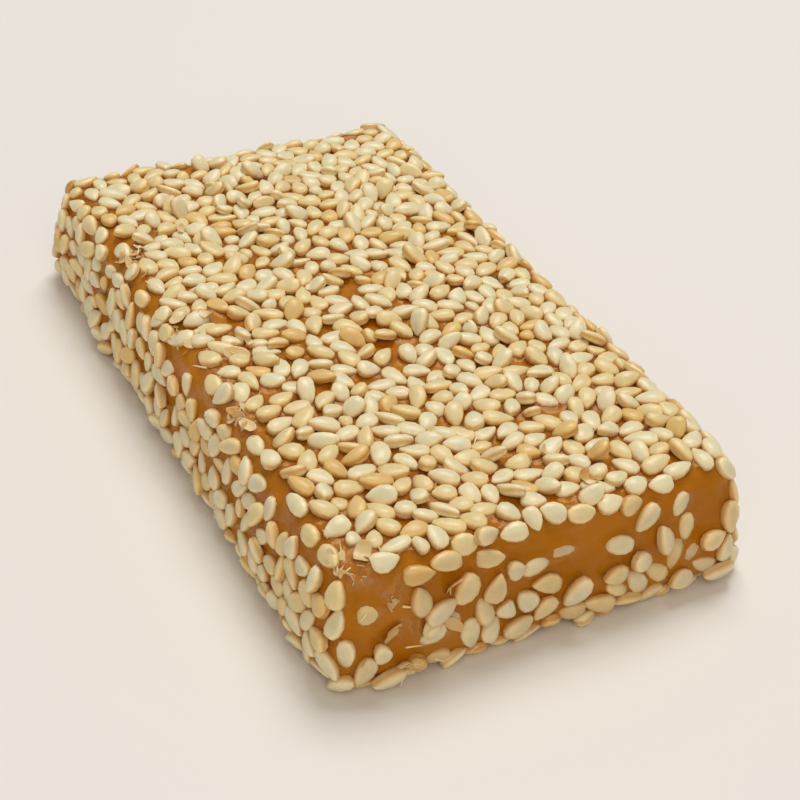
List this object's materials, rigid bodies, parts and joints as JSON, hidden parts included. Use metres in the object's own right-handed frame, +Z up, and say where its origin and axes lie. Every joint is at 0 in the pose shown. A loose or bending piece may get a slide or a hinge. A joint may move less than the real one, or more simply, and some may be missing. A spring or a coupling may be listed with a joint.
{
  "type": "sesame chewy candy",
  "caption": "Flat rectangular slab of chewy amber malt taffy with soft rounded edges, coated in hulled white sesame, more sparsely on its glossy cut ends.",
  "frame": {"origin": "middle of the flat underside, the bottom centre of the bounding box", "axes": "+Y along the slab's length towards the hind cut end, +X across its width, +Z up through its thickness"},
  "size_m": [0.0386, 0.066, 0.0114],
  "materials": {
    "taffy": "amber pulled malt taffy, glossy and slightly see-through",
    "sesame": "hulled, lightly toasted white sesame with a soft oily sheen"
  },
  "bodies": {
    "root": {"candy": "taffy"}
  },
  "joints": []
}
